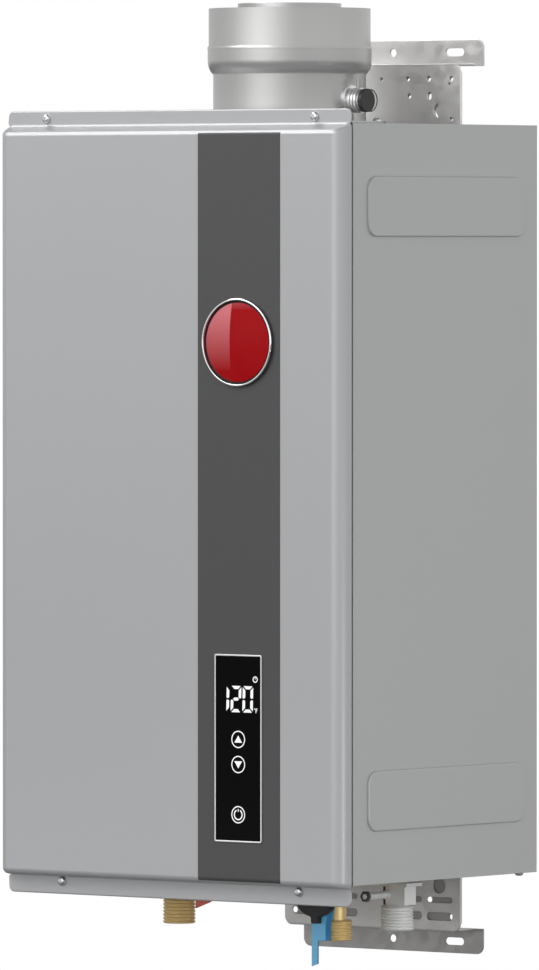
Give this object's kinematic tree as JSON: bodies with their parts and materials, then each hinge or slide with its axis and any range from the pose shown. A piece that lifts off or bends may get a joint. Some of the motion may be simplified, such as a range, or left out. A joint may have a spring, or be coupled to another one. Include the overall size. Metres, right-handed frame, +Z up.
{
  "type": "tankless gas water heater",
  "caption": "Wall-hung tankless gas water heater: sheet case with lift-off front cover and display, concentric vent collar, threaded water and gas fittings and slotted wall brackets.",
  "frame": {"origin": "centre of the upper bracket's two wall slots, on the wall plane", "axes": "+X to the right seen from the front, +Y into the wall, +Z up"},
  "size_m": [0.354, 0.3053, 0.7761],
  "materials": {
    "case_paint": "satin silver-grey paint",
    "cover_paint": "satin silver-grey paint",
    "stripe_film": "dark grey satin film",
    "chrome_trim": "polished chrome",
    "badge_red": "clear domed red",
    "fascia_black": "polished black",
    "screw_zinc": "bright zinc",
    "seal_black": "foam rubber",
    "galvanised": "galvanised sheet",
    "vent_sheet": "satin sheet",
    "brass": "turned brass",
    "nickel": "satin nickel plate",
    "black_plastic": "moulded",
    "dark_plastic": "moulded",
    "white_plastic": "moulded",
    "strap_blue": "moulded polypropylene",
    "strap_red": "moulded polypropylene",
    "copper": "drawn copper",
    "stack_steel": "plain sheet",
    "casting": "die cast",
    "board_green": "solder mask",
    "ceramic": "glazed"
  },
  "bodies": {
    "case": {"back_panel": "case_paint", "left_side_panel": "case_paint", "right_side_panel": "case_paint", "top_panel": "case_paint", "bottom_panel": "case_paint", "cover_gasket": "seal_black", "vent_collar": "vent_sheet", "vent_gasket": "seal_black", "case_screws": "screw_zinc", "flue_pipe": "stack_steel", "flue_spacer": "stack_steel", "test_port": "chrome_trim", "upper_wall_bracket": "galvanised", "lower_wall_bracket": "galvanised", "bracket_stiffeners": "galvanised", "hot_outlet": "brass", "cold_inlet": "brass", "gas_inlet": "nickel", "gas_test_nipple": "nickel", "power_gland": "dark_plastic", "exhaust_hood": "stack_steel", "heat_exchanger": "copper", "heat_exchanger_fins": "copper", "heat_exchanger_tubes": "copper", "stack_brackets": "galvanised", "burner_box": "stack_steel", "burner_bars": "stack_steel", "gas_manifold": "casting", "gas_pipe": "stack_steel", "gas_valve": "casting", "fan_housing": "dark_plastic", "fan_motor": "casting", "water_valve": "dark_plastic", "cold_pipe": "copper", "hot_pipe": "copper", "board_tray": "dark_plastic", "main_board": "board_green", "electrodes": "ceramic"},
    "cover": {"front_cover": "cover_paint", "cover_screws": "screw_zinc", "dark_stripe": "stripe_film", "badge_bezel": "chrome_trim", "badge_dome": "badge_red", "control_bezel": "chrome_trim", "control_fascia": "fascia_black", "controller_housing": "dark_plastic", "controller_board": "board_green"},
    "key_up": {"button_up": "fascia_black"},
    "key_down": {"button_down": "fascia_black"},
    "key_power": {"button_power": "fascia_black"},
    "fan_rotor": {"fan_impeller": "white_plastic"},
    "flow_rotor": {"flow_turbine": "white_plastic"},
    "port_cap": {"test_port_cap": "black_plastic"},
    "filter": {"filter_plug": "black_plastic", "filter_strainer": "white_plastic", "plug_seal": "seal_black", "filter_strap": "strap_blue"},
    "drain": {"drain_plug": "black_plastic", "drain_strap": "strap_red"}
  },
  "joints": [
    {"name": "cover_lift_off", "type": "slide", "parent": "case", "child": "cover", "axis": [0, -1, 0], "range_m": [0, 0.15]},
    {"name": "key_up_press", "type": "slide", "parent": "cover", "child": "key_up", "axis": [0, 1, 0], "range_m": [0, 0.0006], "stiffness_N_per_m": 400},
    {"name": "key_down_press", "type": "slide", "parent": "cover", "child": "key_down", "axis": [0, 1, 0], "range_m": [0, 0.0006], "stiffness_N_per_m": 400},
    {"name": "key_power_press", "type": "slide", "parent": "cover", "child": "key_power", "axis": [0, 1, 0], "range_m": [0, 0.0006], "stiffness_N_per_m": 400},
    {"name": "fan_spin", "type": "hinge", "parent": "case", "child": "fan_rotor", "pos_m": [-0.05, -0.14, -0.524], "axis": [0, 1, 0], "continuous": true},
    {"name": "flow_spin", "type": "hinge", "parent": "case", "child": "flow_rotor", "pos_m": [0.069, -0.168, -0.608], "axis": [0, 0, 1], "continuous": true},
    {"name": "port_cap_pull", "type": "slide", "parent": "case", "child": "port_cap", "axis": [1, 0, 0], "range_m": [0, 0.03]},
    {"name": "filter_draw", "type": "slide", "parent": "case", "child": "filter", "axis": [0, 0, -1], "range_m": [0, 0.06]},
    {"name": "drain_draw", "type": "slide", "parent": "case", "child": "drain", "axis": [0, 0, -1], "range_m": [0, 0.025]}
  ]
}
